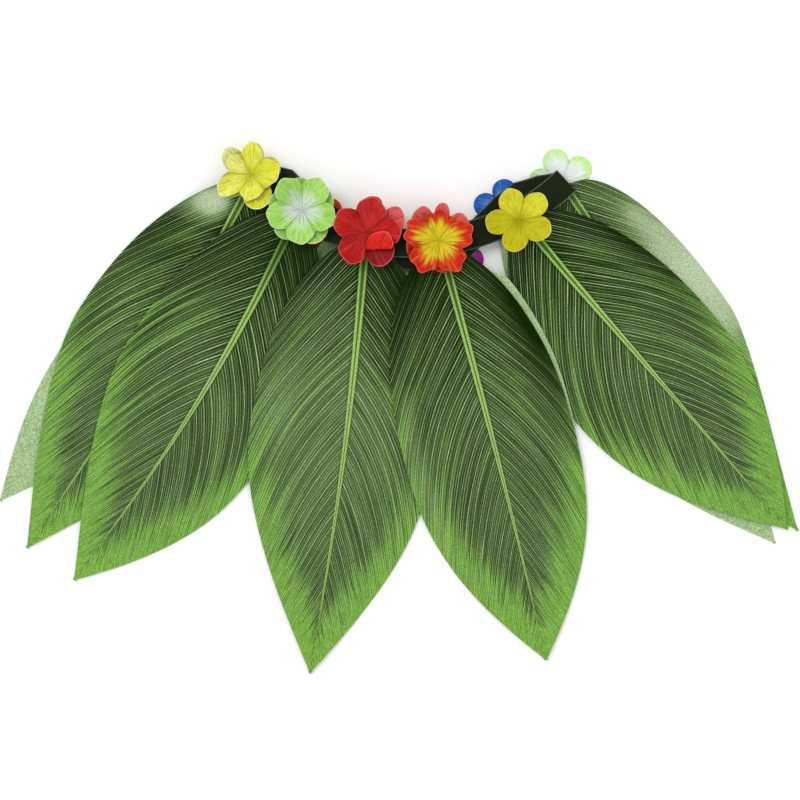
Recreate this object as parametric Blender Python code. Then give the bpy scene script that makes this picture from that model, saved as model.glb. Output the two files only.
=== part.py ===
"""Ti leaf skirt laid flat on a table.

Ten printed cloth leaves hang from a ribbon waistband, and a cloth flower covers the top of
each one that shows. The skirt lies on its back: the back leaves are on the table with their
pale undersides up, and the front leaves are fanned out over them with their printed side up.
Every piece is laid in turn on the pieces below it, so nothing crosses.

The origin is on the table, under the middle of the skirt. +Y points to the waist and +Z up.
"""
import math
from collections import namedtuple

import bmesh
import bpy
import numpy as np

MM = 0.001

# Cloth, in millimetres
LEAF_WALL = 1.0
PETAL_WALL = 1.4
RIBBON_WALL = 1.0
SEAM = 0.3
MIDRIB_RISE = 0.5

# Leaf cut: width along the leaf, as fractions of its length and of its half width
LEAF_WIDEST = 0.47
LEAF_END_HALF_WIDTH = 1.2
LEAF_ROWS = 18
LEAF_COLUMNS = (-1.0, -0.70, -0.38, -0.06, 0.0, 0.06, 0.38, 0.70, 1.0)

# Waistband, in millimetres and degrees; the angle is measured from straight down the skirt
WAIST_X = 10.0
WAIST_Y = 341.0
FRONT_RADIUS = 197.0
FRONT_LEFT = -44.0
FRONT_RIGHT = 43.0
RIBBON_HALF_WIDTH = 12.6
BACK_LEVEL = 5.2
FRONT_LEVEL = 11.4
RUN_STEPS = 30
FOLD_STEPS = 4
FOLD_SEAM_ANGLE = 4.0
FOLD_CLEARANCE = 0.2

# The front run is an arc, and the back run lies a little out of line with it
Run = namedtuple("Run", "angle radius")
FRONT_RUN = (
    Run(FRONT_LEFT, FRONT_RADIUS),
    Run(FRONT_RIGHT, FRONT_RADIUS),
)
BACK_RUN = (
    Run(-44.0, 189.0),
    Run(-38.0, 180.0),
    Run(-21.0, 190.0),
    Run(-2.4, 207.0),
    Run(7.2, 209.0),
    Run(13.0, 204.0),
    Run(18.2, 194.5),
    Run(25.3, 185.0),
    Run(32.2, 182.0),
    Run(39.0, 189.0),
    Run(43.0, 197.0),
)

# Leaves in the order in which they are laid down. Sizes are in millimetres: where the leaf starts
# and ends, how far its midrib bows to the right, its sides, how far its middle stands up, and what
# lies under it. A side has its half width, how bluntly it closes at the tip, and how slowly it
# opens from the base.
Leaf = namedtuple("Leaf", "name base tip bow left right arch lies_on")
Side = namedtuple("Side", "reach blunt shoulder")

# Flowers: the centre, the radius over the petals, the turn of the first petal in degrees, how far
# the petals rise, how far the whole flower tips up and towards which angle, and the turn and the
# size of its upper layer. Petals pass over the flowers beside them. The back flowers are pressed
# flat, and there the cup is the height of the middle.
Flower = namedtuple("Flower", "name x y radius turn cup tilt tilt_angle upper_turn upper_scale"
                              " color lies_on beside")
FlatFlower = namedtuple("FlatFlower", "name x y radius turn cup color")

BACK_FLOWERS = (
    FlatFlower("flower_blue_back", 93.0, 173.4, 28.0, 91.0, 2.4, "blue"),
    FlatFlower("flower_magenta_back", 50.0, 138.5, 26.5, -28.0, 4.4, "magenta"),
    FlatFlower("flower_orange_back", -74.0, 164.6, 27.0, 36.0, 2.4, "orange"),
    FlatFlower("flower_green_back", 143.5, 199.5, 29.5, 36.0, 2.4, "pale_green"),
)
FLAT_FLOWER_RIM = 1.2

BACK_LEAVES = (
    Leaf("leaf_back_far_left", (-112.0, 203.0), (-351.0, -81.8), 0,
         Side(48, 1.3, 0.70), Side(60, 1.0, 0.70), 0.0, ()),
    Leaf("leaf_back_middle", (-50.0, 160.0), (-76.6, -218.0), 2,
         Side(60, 0.9, 0.70), Side(60, 0.9, 0.70), 0.0, ("flower_orange_back",)),
    Leaf("leaf_back_right", (92.0, 176.0), (331.0, -119.0), 0,
         Side(62, 1.1, 0.70), Side(60, 1.0, 0.70), 0.0,
         ("flower_blue_back", "flower_magenta_back")),
)

SIDE_LEAF = Leaf("leaf_side_right", (145.0, 196.0), (351.0, -108.2), 0,
                 Side(64, 1.0, 0.60), Side(61.5, 0.68, 0.50), 1.5,
                 ("flower_green_back", "flower_blue_back", "leaf_back_right"))

FRONT_LEAVES = (
    Leaf("leaf_front_right", (105.0, 166.5), (341.4, -106.5), 0,
         Side(79, 1.12, 0.64), Side(74, 1.1, 0.58), 3.0,
         ("leaf_side_right", "leaf_back_right", "waistband_front", "flower_magenta_back")),
    Leaf("leaf_back_centre", (50.0, 146.0), (126.7, -206.0), 4,
         Side(62, 1.3, 0.72), Side(63.5, 1.3, 0.68), 0.0,
         ("waistband_back", "leaf_front_right", "leaf_back_right", "flower_magenta_back",
          "leaf_back_middle")),
    Leaf("leaf_front_far_left", (-127.6, 198.9), (-327.4, -123.2), 6,
         Side(77.5, 0.86, 0.68), Side(68, 1.05, 0.60), 3.0,
         ("leaf_back_far_left", "waistband_front")),
    Leaf("leaf_front_left", (-88.5, 169.0), (-286.0, -151.4), 11,
         Side(80, 0.86, 0.60), Side(76, 1.40, 0.60), 3.0,
         ("leaf_back_far_left", "leaf_front_far_left", "leaf_back_middle", "waistband_front")),
    Leaf("leaf_front_middle", (-29.0, 147.5), (-78.3, -233.2), 5,
         Side(84.5, 0.94, 0.58), Side(78, 1.10, 0.58), 3.0,
         ("leaf_front_left", "leaf_back_middle", "leaf_back_centre", "waistband_front")),
    Leaf("leaf_front_centre", (35.5, 145.0), (129.4, -221.8), 2.5,
         Side(80, 1.25, 0.58), Side(71.5, 1.45, 0.68), 3.0,
         ("leaf_front_middle", "leaf_back_middle", "leaf_back_centre", "leaf_front_right",
          "leaf_back_right", "waistband_front")),
)

FRONT_FLOWERS = (
    Flower("flower_yellow_left", -129.4, 204.6, 30.0, 66.0, 9.0, 2.0, 90.0, 100.0, 0.86, "yellow",
           ("leaf_front_far_left", "leaf_front_left", "waistband_front"), ()),
    Flower("flower_green", -84.5, 172.5, 31.0, 17.0, 8.0, 1.0, 60.0, 53.0, 0.94, "pale_green",
           ("leaf_front_left", "leaf_front_far_left", "waistband_front"),
           ("flower_yellow_left_lower", "flower_yellow_left_upper")),
    Flower("flower_red", -28.2, 153.0, 31.0, 44.0, 9.0, 2.0, 90.0, 80.0, 0.92, "red",
           ("leaf_front_middle", "leaf_front_left", "leaf_front_centre", "waistband_front"),
           ("flower_green_lower", "flower_green_upper")),
    Flower("flower_red_yellow", 34.0, 146.0, 31.0, 55.0, 8.0, 1.0, 90.0, 95.0, 0.94, "red_yellow",
           ("leaf_front_centre", "leaf_front_middle", "waistband_front"),
           ("flower_red_lower", "flower_red_upper")),
    Flower("flower_yellow_right", 104.7, 163.7, 27.5, 42.0, 8.0, 2.0, 60.0, 42.0, 1.05, "yellow",
           ("leaf_front_right", "waistband_front", "leaf_front_centre"),
           ("flower_red_yellow_lower", "flower_red_yellow_upper")),
)

# Petals
PETALS = 5
PETAL_OUTLINE = (0.60, 0.94, 1.0, 1.0, 0.94)
PETAL_RINGS = (0.26, 0.63, 1.0)
PETAL_CURVE = 1.6
UPPER_LIFT = 3.0
LAYER_CLEARANCE = 1.8
BESIDE_CLEARANCE = 0.6

# Laying: a map of heights over the table, in millimetres
MAP_LEFT = -400.0
MAP_BOTTOM = -280.0
MAP_CELL = 4.0
MAP_COLUMNS = 201
MAP_ROWS = 141
LEAF_REACH = 3
PETAL_REACH = 1
LEAF_SLOPE = 0.22
PETAL_SLOPE = 0.9
SLOPE_STEPS = 70
LEAF_STAMP_SPLITS = 12
RIBBON_STAMP_SPLITS = 6
PETAL_STAMP_SPLITS = 6

COLORS = {
    "leaf": (0.10, 0.24, 0.035),
    "leaf_underside": (0.42, 0.50, 0.33),
    "ribbon": (0.012, 0.022, 0.008),
    "yellow": (0.80, 0.68, 0.03),
    "pale_green": (0.72, 0.86, 0.50),
    "red": (0.62, 0.02, 0.012),
    "red_yellow": (0.80, 0.22, 0.02),
    "blue": (0.03, 0.13, 0.62),
    "magenta": (0.45, 0.02, 0.42),
    "orange": (0.80, 0.10, 0.02),
}

laid_tops = {}


def clear_scene():
    for item in list(bpy.data.objects):
        bpy.data.objects.remove(item)


def cloth_material(color_name):
    material = bpy.data.materials.get(color_name)
    if material is None:
        material = bpy.data.materials.new(color_name)
        material.use_nodes = True
        shader = material.node_tree.nodes["Principled BSDF"]
        shader.inputs["Base Color"].default_value = (*COLORS[color_name], 1.0)
        shader.inputs["Roughness"].default_value = 0.65
        shader.inputs["Metallic"].default_value = 0.0
    return material


def around(reach):
    """Cell steps within a round reach."""
    steps = range(-reach, reach + 1)
    return [(row, column) for row in steps for column in steps
            if row * row + column * column <= reach * reach + 1]


def stamp_top(name, points, splits):
    """Keep the height of a laid piece: points is a grid of its top surface."""
    heights = np.zeros((MAP_ROWS, MAP_COLUMNS))
    for along in np.linspace(0.0, 1.0, splits):
        for across in np.linspace(0.0, 1.0, splits):
            near = points[:-1, :-1] * (1 - across) + points[:-1, 1:] * across
            far = points[1:, :-1] * (1 - across) + points[1:, 1:] * across
            spot = near * (1 - along) + far * along
            columns = np.rint((spot[..., 0] - MAP_LEFT) / MAP_CELL).astype(int)
            rows = np.rint((spot[..., 1] - MAP_BOTTOM) / MAP_CELL).astype(int)
            np.maximum.at(heights, (rows, columns), spot[..., 2])
    laid_tops[name] = heights


def resting_height(names, reach, slope):
    """The smooth height at which cloth lies over the named pieces, clear by reach in cells."""
    top = np.zeros((MAP_ROWS, MAP_COLUMNS))
    for name in names:
        top = np.maximum(top, laid_tops[name])
    reached = top.copy()
    for step in around(reach):
        reached = np.maximum(reached, np.roll(top, step, (0, 1)))
    fall = slope * MAP_CELL
    for _ in range(SLOPE_STEPS):
        for row, column in around(1):
            lower = np.roll(reached, (row, column), (0, 1)) - fall * math.hypot(row, column)
            reached = np.maximum(reached, lower)
    steps = around(reach)
    return sum(np.roll(reached, step, (0, 1)) for step in steps) / len(steps)


def height_at(heights, x, y):
    column = (x - MAP_LEFT) / MAP_CELL
    row = (y - MAP_BOTTOM) / MAP_CELL
    left = int(column)
    low = int(row)
    right_share = column - left
    high_share = row - low
    bottom = heights[low, left] * (1 - right_share) + heights[low, left + 1] * right_share
    top = heights[low + 1, left] * (1 - right_share) + heights[low + 1, left + 1] * right_share
    value = bottom * (1 - high_share) + top * high_share
    return value + SEAM if value > SEAM else value


def object_from_bmesh(name, shape, color_name):
    mesh = bpy.data.meshes.new(name)
    bmesh.ops.recalc_face_normals(shape, faces=shape.faces)
    shape.to_mesh(mesh)
    shape.free()
    mesh.shade_smooth()
    mesh.set_sharp_from_angle(angle=math.radians(40))
    mesh.materials.append(cloth_material(color_name))
    item = bpy.data.objects.new(name, mesh)
    bpy.context.scene.collection.objects.link(item)


def sheet_solid(name, top, bottom, color_name):
    """A closed wall between two grids of points."""
    shape = bmesh.new()
    rows, columns = top.shape[:2]

    def grid_verts(points):
        return [[shape.verts.new(points[row, column] * MM) for column in range(columns)]
                for row in range(rows)]

    upper = grid_verts(top)
    lower = grid_verts(bottom)
    for row in range(rows - 1):
        for column in range(columns - 1):
            for side in (upper, lower):
                shape.faces.new((side[row][column], side[row][column + 1],
                                 side[row + 1][column + 1], side[row + 1][column]))
    border = [(0, column) for column in range(columns)]
    border += [(row, columns - 1) for row in range(1, rows)]
    border += [(rows - 1, column) for column in range(columns - 2, -1, -1)]
    border += [(row, 0) for row in range(rows - 2, 0, -1)]
    for here, after in zip(border, border[1:] + border[:1]):
        shape.faces.new((upper[here[0]][here[1]], upper[after[0]][after[1]],
                         lower[after[0]][after[1]], lower[here[0]][here[1]]))
    object_from_bmesh(name, shape, color_name)


def leaf_half_width(along, side):
    if along < LEAF_WIDEST:
        share = math.sin(math.pi / 2 * (along / LEAF_WIDEST) ** side.shoulder)
    else:
        past = (along - LEAF_WIDEST) / (1 - LEAF_WIDEST)
        share = math.cos(math.pi / 2 * past ** side.blunt)
    return max(side.reach * share, LEAF_END_HALF_WIDTH)


def leaf_point(leaf, along, across):
    """Plan position of a leaf's point: along from its base to its tip, across from left to right."""
    length = math.dist(leaf.base, leaf.tip)
    down_x = (leaf.tip[0] - leaf.base[0]) / length
    down_y = (leaf.tip[1] - leaf.base[1]) / length
    reach = leaf_half_width(along, leaf.left if across < 0 else leaf.right)
    sideways = leaf.bow * math.sin(math.pi * along) + across * reach
    x = leaf.base[0] + down_x * along * length - down_y * sideways
    y = leaf.base[1] + down_y * along * length + down_x * sideways
    return x, y


def make_leaf(leaf, color_name):
    below = resting_height(leaf.lies_on, LEAF_REACH, LEAF_SLOPE)
    bottom = np.zeros((LEAF_ROWS + 1, len(LEAF_COLUMNS), 3))
    for row in range(LEAF_ROWS + 1):
        along = row / LEAF_ROWS
        for column, across in enumerate(LEAF_COLUMNS):
            x, y = leaf_point(leaf, along, across)
            rise = leaf.arch * math.sin(math.pi * along) * (1 - across ** 2)
            bottom[row, column] = (x, y, height_at(below, x, y) + rise)
    top = bottom + np.array((0.0, 0.0, LEAF_WALL))
    top[:, LEAF_COLUMNS.index(0.0), 2] += MIDRIB_RISE
    stamp_top(leaf.name, top, LEAF_STAMP_SPLITS)
    sheet_solid(leaf.name, top, bottom, color_name)


def ribbon_path(run, level, fold_sign):
    """Centreline points and width directions of one run, with a quarter fold at each end."""
    fold_radius = (FRONT_LEVEL - BACK_LEVEL) / 2
    middle_level = (FRONT_LEVEL + BACK_LEVEL) / 2
    angles = [row.angle for row in run]
    radii = [row.radius for row in run]
    points = []
    widths = []

    def add(angle, outward, height):
        turn = math.radians(angle)
        radial = np.array((math.sin(turn), -math.cos(turn), 0.0))
        tangent = np.array((math.cos(turn), math.sin(turn), 0.0))
        radius = float(np.interp(angle, angles, radii))
        spot = np.array((WAIST_X, WAIST_Y, 0.0)) + radial * radius + tangent * outward
        spot[2] = height
        points.append(spot)
        widths.append(radial)

    fold_span = math.pi / 2 - math.radians(FOLD_SEAM_ANGLE)
    turns = [fold_span * step / FOLD_STEPS for step in range(1, FOLD_STEPS + 1)]
    for turn in reversed(turns):
        add(FRONT_LEFT, -fold_radius * math.sin(turn),
            middle_level + fold_sign * fold_radius * math.cos(turn))
    for step in range(RUN_STEPS + 1):
        add(FRONT_LEFT + (FRONT_RIGHT - FRONT_LEFT) * step / RUN_STEPS, 0.0, level)
    for turn in turns:
        add(FRONT_RIGHT, fold_radius * math.sin(turn),
            middle_level + fold_sign * fold_radius * math.cos(turn))
    return np.array(points), np.array(widths)


def make_waistband_run(name, run, level, fold_sign):
    points, widths = ribbon_path(run, level, fold_sign)
    tangents = np.gradient(points, axis=0)
    normals = np.cross(tangents, widths)
    normals /= np.linalg.norm(normals, axis=1)[:, None]
    across = (-1.0, 0.0, 1.0)
    centre = np.stack([points + widths * RIBBON_HALF_WIDTH * share for share in across], axis=1)
    shift = normals[:, None, :] * RIBBON_WALL / 2
    outer = centre + shift
    inner = centre - shift
    outer_face = np.array((0.0, 0.0, RIBBON_WALL / 2 + FOLD_CLEARANCE))
    stamp_top(name, centre + outer_face, RIBBON_STAMP_SPLITS)
    sheet_solid(name, outer, inner, "ribbon")


def disc_solid(name, top, bottom, centre_top, centre_bottom, color_name):
    """A closed wall of rings round a centre, from its top and bottom rings of points."""
    shape = bmesh.new()
    rings, segments = top.shape[:2]
    for points, centre in ((top, centre_top), (bottom, centre_bottom)):
        middle = shape.verts.new(np.array(centre) * MM)
        verts = [[shape.verts.new(points[ring, segment] * MM) for segment in range(segments)]
                 for ring in range(rings)]
        for segment in range(segments):
            after = (segment + 1) % segments
            shape.faces.new((middle, verts[0][segment], verts[0][after]))
            for ring in range(rings - 1):
                shape.faces.new((verts[ring][segment], verts[ring + 1][segment],
                                 verts[ring + 1][after], verts[ring][after]))
        if points is top:
            top_rim = verts[-1]
        else:
            bottom_rim = verts[-1]
    for segment in range(segments):
        after = (segment + 1) % segments
        shape.faces.new((top_rim[segment], top_rim[after], bottom_rim[after], bottom_rim[segment]))
    object_from_bmesh(name, shape, color_name)


def petal_plan(flower, scale, turn):
    """Plan positions of a petal layer, one row for each ring."""
    segments = PETALS * len(PETAL_OUTLINE)
    plan = np.zeros((len(PETAL_RINGS), segments, 3))
    for ring, share in enumerate(PETAL_RINGS):
        for segment in range(segments):
            angle = math.radians(turn - 180 / PETALS + 360 * segment / segments)
            lobe = PETAL_OUTLINE[segment % len(PETAL_OUTLINE)]
            lobe = 1 + (lobe - 1) * share
            reach = flower.radius * scale * share * lobe
            plan[ring, segment] = (flower.x + reach * math.cos(angle),
                                   flower.y + reach * math.sin(angle), 0.0)
    return plan


def make_flat_flower(flower):
    """A flower pressed flat between the back of the skirt and the table."""
    bottom = petal_plan(flower, 1.0, flower.turn)
    top = bottom.copy()
    for ring, share in enumerate(PETAL_RINGS):
        top[ring, :, 2] = flower.cup + (FLAT_FLOWER_RIM - flower.cup) * share ** 2
    stamp_disc(flower.name, top, flower.cup, flower)
    centre = (flower.x, flower.y)
    disc_solid(flower.name, top, bottom, (*centre, flower.cup), (*centre, 0.0), flower.color)


def stamp_disc(name, top, middle_height, flower):
    middle = np.zeros((1, top.shape[1], 3))
    middle[0, :] = (flower.x, flower.y, middle_height)
    rows = np.concatenate((middle, top), axis=0)
    stamp_top(name, np.concatenate((rows, rows[:, :1]), axis=1), PETAL_STAMP_SPLITS)


def make_petal_layer(flower, name, scale, turn, first_height, lift, clearance):
    below = resting_height(flower.lies_on, PETAL_REACH, PETAL_SLOPE)
    beside = resting_height(flower.beside, PETAL_REACH, PETAL_SLOPE)
    bottom = petal_plan(flower, scale, turn)
    toward = math.radians(flower.tilt_angle)
    for spot in bottom.reshape(-1, 3):
        reach = math.hypot(spot[0] - flower.x, spot[1] - flower.y) / flower.radius
        lean = (spot[0] - flower.x) * math.cos(toward) + (spot[1] - flower.y) * math.sin(toward)
        own = first_height + (flower.cup + lift) * reach ** PETAL_CURVE
        own += flower.tilt * lean / flower.radius
        spot[2] = max(own, height_at(below, spot[0], spot[1]) + clearance,
                      height_at(beside, spot[0], spot[1]) + clearance + BESIDE_CLEARANCE)
    top = bottom + np.array((0.0, 0.0, PETAL_WALL))
    stamp_disc(name, top, first_height + PETAL_WALL, flower)
    centre = (flower.x, flower.y)
    disc_solid(name, top, bottom, (*centre, first_height + PETAL_WALL), (*centre, first_height),
               flower.color)


def make_cupped_flower(flower):
    """Two layers of petals, one lying in the other."""
    below = resting_height(flower.lies_on, PETAL_REACH, PETAL_SLOPE)
    middle = petal_plan(flower, 1.0, flower.turn)[0]
    seat = max(height_at(below, spot[0], spot[1]) for spot in middle)
    make_petal_layer(flower, flower.name + "_lower", 1.0, flower.turn, seat, 0.0, 0.0)
    make_petal_layer(flower, flower.name + "_upper", flower.upper_scale, flower.upper_turn,
                     seat + PETAL_WALL + SEAM, UPPER_LIFT, PETAL_WALL + LAYER_CLEARANCE)


clear_scene()
for flower in BACK_FLOWERS:
    make_flat_flower(flower)
for leaf in BACK_LEAVES:
    make_leaf(leaf, "leaf_underside")
make_leaf(SIDE_LEAF, "leaf")
make_waistband_run("waistband_back", BACK_RUN, BACK_LEVEL, -1)
make_waistband_run("waistband_front", FRONT_RUN, FRONT_LEVEL, 1)
for leaf in FRONT_LEAVES:
    make_leaf(leaf, "leaf")
for flower in FRONT_FLOWERS:
    make_cupped_flower(flower)
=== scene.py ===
import math

import bmesh
import bpy
import numpy as np
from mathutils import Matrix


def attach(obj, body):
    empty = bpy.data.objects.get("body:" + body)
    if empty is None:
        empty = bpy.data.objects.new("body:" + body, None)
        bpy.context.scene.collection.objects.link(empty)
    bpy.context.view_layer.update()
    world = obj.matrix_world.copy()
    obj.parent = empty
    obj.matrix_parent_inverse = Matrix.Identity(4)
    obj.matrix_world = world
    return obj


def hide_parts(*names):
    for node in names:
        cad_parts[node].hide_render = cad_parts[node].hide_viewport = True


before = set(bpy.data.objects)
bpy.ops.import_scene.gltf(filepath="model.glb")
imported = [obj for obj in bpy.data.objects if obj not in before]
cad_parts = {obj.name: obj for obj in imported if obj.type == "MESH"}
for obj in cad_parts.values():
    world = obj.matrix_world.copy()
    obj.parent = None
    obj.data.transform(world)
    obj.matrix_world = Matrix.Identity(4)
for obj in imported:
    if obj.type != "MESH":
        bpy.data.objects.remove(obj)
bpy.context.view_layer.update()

# Ti leaf skirt laid flat: printed cloth leaves on a satin ribbon, with cloth flowers.
# Sizes are in millimetres, turned to metres when a mesh is made. +Y is up in the picture.
mm = 0.001
seam = 0.3  # gap between pieces that lie on each other


# Laying the cloth
layingMap = dict(left=-400.0, bottom=-280.0, cell=2.0, columns=401, rows=281)
tops = {}  # height map of every piece that is laid


def around(reach):
    steps = range(-reach, reach + 1)
    return [(row, column) for row in steps for column in steps
            if row * row + column * column <= reach * reach + 1]


def stampTop(name, points, splits):
    heights = np.zeros((layingMap["rows"], layingMap["columns"]))
    for along in np.linspace(0.0, 1.0, splits):
        for across in np.linspace(0.0, 1.0, splits):
            near = points[:-1, :-1] * (1 - across) + points[:-1, 1:] * across
            far = points[1:, :-1] * (1 - across) + points[1:, 1:] * across
            spot = near * (1 - along) + far * along
            columns = np.rint((spot[..., 0] - layingMap["left"]) / layingMap["cell"]).astype(int)
            rows = np.rint((spot[..., 1] - layingMap["bottom"]) / layingMap["cell"]).astype(int)
            np.maximum.at(heights, (rows, columns), spot[..., 2])
    tops[name] = heights


def restingHeight(names, reach, slope):
    top = np.zeros((layingMap["rows"], layingMap["columns"]))
    for name in names:
        top = np.maximum(top, tops[name])
    reached = top.copy()
    for step in around(reach):
        reached = np.maximum(reached, np.roll(top, step, (0, 1)))
    fall = slope * layingMap["cell"]
    for _ in range(70):
        for row, column in around(1):
            lower = np.roll(reached, (row, column), (0, 1)) - fall * math.hypot(row, column)
            reached = np.maximum(reached, lower)
    steps = around(reach)
    return sum(np.roll(reached, step, (0, 1)) for step in steps) / len(steps)


def heightAt(heights, x, y):
    column = (x - layingMap["left"]) / layingMap["cell"]
    row = (y - layingMap["bottom"]) / layingMap["cell"]
    left = np.floor(column).astype(int)
    low = np.floor(row).astype(int)
    u = column - left
    v = row - low
    lower = heights[low, left] * (1 - u) + heights[low, left + 1] * u
    upper = heights[low + 1, left] * (1 - u) + heights[low + 1, left + 1] * u
    value = lower * (1 - v) + upper * v
    return value + seam * np.clip(value / seam, 0.0, 1.0)


# Node helpers
def newMaterial(name, roughness):
    material = bpy.data.materials.new(name)
    material.use_nodes = True
    shader = material.node_tree.nodes["Principled BSDF"]
    shader.inputs["Roughness"].default_value = roughness
    return material, material.node_tree, shader


def put(tree, socket, value):
    if isinstance(value, bpy.types.NodeSocket):
        tree.links.new(value, socket)
    else:
        socket.default_value = value


def calc(tree, operation, a, b=0.0, c=0.0, clamp=False):
    node = tree.nodes.new("ShaderNodeMath")
    node.operation = operation
    node.use_clamp = clamp
    for socket, value in zip(node.inputs, (a, b, c)):
        put(tree, socket, value)
    return node.outputs[0]


def soften(tree, value, low, high, outLow=0.0, outHigh=1.0):  # smooth step
    node = tree.nodes.new("ShaderNodeMapRange")
    node.interpolation_type = "SMOOTHSTEP"
    put(tree, node.inputs["Value"], value)
    node.inputs["From Min"].default_value = low
    node.inputs["From Max"].default_value = high
    node.inputs["To Min"].default_value = outLow
    node.inputs["To Max"].default_value = outHigh
    return node.outputs["Result"]


def mix(tree, factor, a, b, blend="MIX"):
    node = tree.nodes.new("ShaderNodeMix")
    node.data_type = "RGBA"
    node.blend_type = blend
    put(tree, node.inputs[0], factor)
    for socket, value in ((node.inputs[6], a), (node.inputs[7], b)):
        put(tree, socket, value if isinstance(value, bpy.types.NodeSocket) else (*value, 1.0))
    return node.outputs[2]


def combine(tree, x, y, z):
    node = tree.nodes.new("ShaderNodeCombineXYZ")
    for socket, value in zip(node.inputs, (x, y, z)):
        put(tree, socket, value)
    return node.outputs[0]


def noise(tree, vector, scale, detail=2.0, roughness=0.5):
    node = tree.nodes.new("ShaderNodeTexNoise")
    put(tree, node.inputs["Vector"], vector)
    node.inputs["Scale"].default_value = scale
    node.inputs["Detail"].default_value = detail
    node.inputs["Roughness"].default_value = roughness
    return node.outputs["Fac"]


def attribute(tree, name):
    node = tree.nodes.new("ShaderNodeAttribute")
    node.attribute_name = name
    return node.outputs["Fac"]


def bump(tree, shader, height, strength, distance):
    node = tree.nodes.new("ShaderNodeBump")
    node.inputs["Strength"].default_value = strength
    node.inputs["Distance"].default_value = distance
    put(tree, node.inputs["Height"], height)
    tree.links.new(node.outputs["Normal"], shader.inputs["Normal"])


def objectPoint(tree):
    return tree.nodes.new("ShaderNodeTexCoord").outputs["Object"]


# Leaf cloth
leafPrint = dict(
    # base is the print's darkest green and also the colour of painted shade
    base=(0.006, 0.018, 0.001),
    middle=(0.047, 0.106, 0.015),
    light=(0.195, 0.385, 0.070),
    margin=(0.205, 0.460, 0.055),
    vein=(0.430, 0.590, 0.300),
    midrib=(0.310, 0.510, 0.125),
    midribCentre=(0.026, 0.100, 0.006),
    glare=(0.450, 0.550, 0.350),
    roughness=0.68,
    specular=0.01,
    veinGap=11.5,      # mm between the strong veins, measured along the midrib
    streaks=(9.0, 3.6, 1.7),  # widths of the broad, narrow and fine streaks, mm
    strongShare=0.82,  # how much of a line's colour shows
    thinShare=0.50,
    strongShadeShare=0.95,
    thinShadeShare=0.88,
    marginEdge=(1.42, 1.92),  # where the bright margin begins and is full
    darkStreaks=0.80,
    litShare=1.8,
    # strength of the painted sheen over the middle of each leaf
    paintedSheen=0.035,
    speckle=(0.52, 1.48),
    weave=1500.0,
    relief=0.40,
)


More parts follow.
